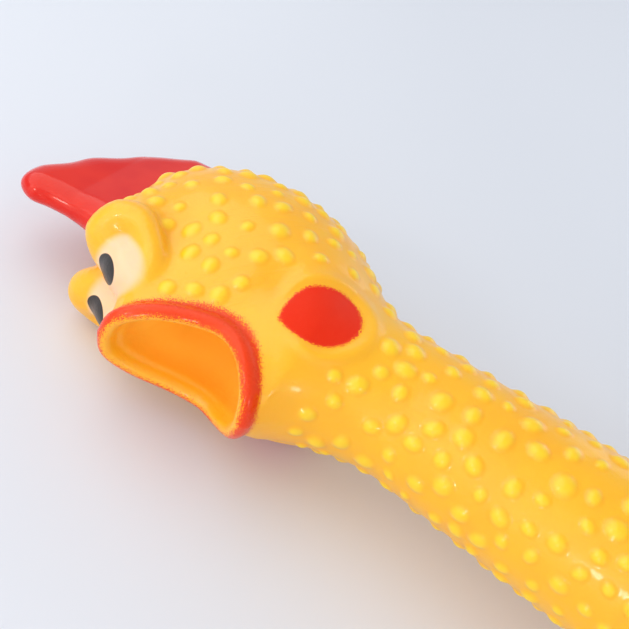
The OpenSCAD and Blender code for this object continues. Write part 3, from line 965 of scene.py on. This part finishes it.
WING_HALF = 3.3
WING_L = 41.8           # how far out the wing's middle lies at the belly's height
SHAFT_RISE = 0.5        # ridge down the middle of each feather
SHAFT_HALF = 0.8
WING_FLARE = math.tan(math.asin(abs(LEFT.x)))
# each feather's root and tip, [f, u] from the wing's root, and its radius
FEATHERS = [((2, -12), (-14, -46), 5.5), ((6, -12), (-6, -50), 5.5), ((9, -12), (2, -50), 5.5),
            ((11, -14), (9, -46), 5.5), ((12, -16), (14.5, -38), 5.5)]


def wing_field(p):
    """The left wing: overlapping feathers spreading from its shoulder."""
    f, l, u = p[:, 0], p[:, 1], p[:, 2] - WING_ROOT[2]
    centre = WING_L + WING_FLARE * (BELLY_U - p[:, 2])
    flat = np.stack([f, u], axis=-1)
    d = None
    for a, b, r in FEATHERS:
        off_shaft = limb(flat, [a, b], (r, r)) + r
        feather = np.hypot(np.maximum(off_shaft, 0), (l - centre) * r / WING_HALF) - r
        feather = feather * WING_HALF / r - SHAFT_RISE * np.exp(-np.square(off_shaft / SHAFT_HALF))
        d = feather if d is None else smooth_min(d, feather, 0.4)
    elbow = WING_ROOT + (1, 3.0, -7)
    arm = limb(p, [WING_ROOT - (0, 4, 0), elbow, (5, 39.0, WING_ROOT[2] - 17)], (5.5, 4.8, 4.4))
    return smooth_min(d, arm, 3)


WING_LOW, WING_HIGH = (-26, 22, -196), (26, 52, -126)
points_w, quads_w = surface_net(wing_field, WING_LOW, WING_HIGH, SKIN_STEP)
points_w, quads_w = split(points_w, quads_w)
points_w = settle(wing_field, points_w)
for side, s in SIDES:
    p = points_w * [1, s, 1]
    masks = {key: np.full(len(p), MASK_OFF) for key in attributes}
    masks.update(rest_mm=p, bump=np.zeros(len(p)))
    wing = make_mesh(f"{side}_wing_skin", p, quads_w[:, ::s], masks, vinyl)
    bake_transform(wing)
    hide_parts(f"{side}_wing")


# ---------------------------------------- whistle

WHISTLE_NODES = ("whistle_barrel", "whistle_cap", "reed_block", "reed_wedge")
REED_NODES = ("reed_root", "reed")
white_plastic = plastic_material("whistle_plastic", WHISTLE_WHITE, 0.4)
reed_plastic = plastic_material("reed_plastic", REED_GREY, 0.2)
for names, material in ((WHISTLE_NODES, white_plastic), (REED_NODES, reed_plastic)):
    for name in names:
        node = frame["nodes"][name]
        node.data.materials.clear()
        node.data.materials.append(material)


# ---------------------------------------- stage, light and camera

FLOOR_HALF = 3.0        # in metres
AIR_STRENGTH = 0.72
SENSOR_WIDTH = 36.0     # in millimetres
LENS = SENSOR_WIDTH * (1100 / 629)      # focal length and width of the fitted camera, in pixels
# place in millimetres, and directions, all as f, l, u
CAMERA_PLACE = (233.9, 218.7, -58.3)
CAMERA_LOOK = (-0.726, -0.646, 0.234)
CAMERA_RIGHT = (-0.520, 0.294, -0.802)


def backdrop():
    mesh = bpy.data.meshes.new("floor")
    half = FLOOR_HALF
    corners = [(-half, -half, 0), (half, -half, 0), (half, half, 0), (-half, half, 0)]
    mesh.from_pydata(corners, [], [(0, 1, 2, 3)])
    floor = bpy.data.objects.new("floor", mesh)
    bpy.context.scene.collection.objects.link(floor)
    n = Nodes("floor_paper")
    where = n.new("ShaderNodeTexCoord").outputs["Object"]
    n.set(Base_Color=n.mix(n.noise(where, 3.0), PAPER, PAPER_LIGHT), Roughness=0.65)
    mesh.materials.append(n.material)


def area_light(name, target, away, size, power):
    data = bpy.data.lights.new(name, "AREA")
    data.shape = "RECTANGLE"
    data.size, data.size_y = size
    data.energy = power
    light = bpy.data.objects.new(name, data)
    light.location = target + away
    light.rotation_euler = (-away).to_track_quat("-Z", "Y").to_euler()
    bpy.context.scene.collection.objects.link(light)


def direction(v):
    return (FORWARD * v[0] + LEFT * v[1] + UP * v[2]).normalized()


def add_camera():
    data = bpy.data.cameras.new("camera")
    data.sensor_width = SENSOR_WIDTH
    data.lens = LENS
    data.clip_start, data.clip_end = 0.01, 20
    camera = bpy.data.objects.new("camera", data)
    look, right = direction(CAMERA_LOOK), direction(CAMERA_RIGHT)
    right = (right - look * right.dot(look)).normalized()
    up = right.cross(look)
    turn = Matrix((right, up, -look)).transposed()
    camera.matrix_world = Matrix.Translation(Vector(world(CAMERA_PLACE))) @ turn.to_4x4()
    bpy.context.scene.collection.objects.link(camera)
    bpy.context.scene.camera = camera
    return look, right, up


backdrop()
look, right, up = add_camera()
head_middle = Vector(world((0, 0, 30)))
upper_neck = head_middle - UP * 0.06
comb_front = Vector(world((14, 0, 95)))
mirrored_view = direction((0.8, 0.55, 0.234))      # light from here shines off the comb's front edge

# each light's name, what it lights, the way from there to the light in metres, its size and its watts
LIGHTS = (
    ("key", head_middle, up * 0.55 - right * 0.2 - look * 0.3, (0.9, 0.7), 2.6),
    ("front", head_middle, FORWARD * 0.3 + up * 0.15 - look * 0.6, (0.9, 0.6), 0.8),
    ("glint", head_middle, -look * 0.7 - up * 0.35 - right * 0.25, (0.1, 0.1), 0.8),
    ("low glint", upper_neck, -look * 0.45 - up * 0.2 - UP * 0.34, (0.08, 0.08), 0.4),
    ("comb glint", comb_front, mirrored_view * 0.8, (0.1, 0.1), 0.5),
    ("fill", head_middle, Vector((0, 0, 0.1)) - right * 0.7 - look * 0.5, (0.6, 0.6), 1.0),
    ("back", head_middle, Vector((0, 0, 0.5)) + look * 0.6 + right * 0.5, (0.5, 0.5), 0.9),
)
for name, target, away, size, power in LIGHTS:
    area_light(name, target, away, size, power)

air = bpy.data.worlds.new("studio")
air.use_nodes = True
air_shader = air.node_tree.nodes["Background"]
air_shader.inputs["Color"].default_value = STUDIO_AIR
air_shader.inputs["Strength"].default_value = AIR_STRENGTH
bpy.context.scene.world = air
bpy.context.scene.view_settings.view_transform = "Standard"
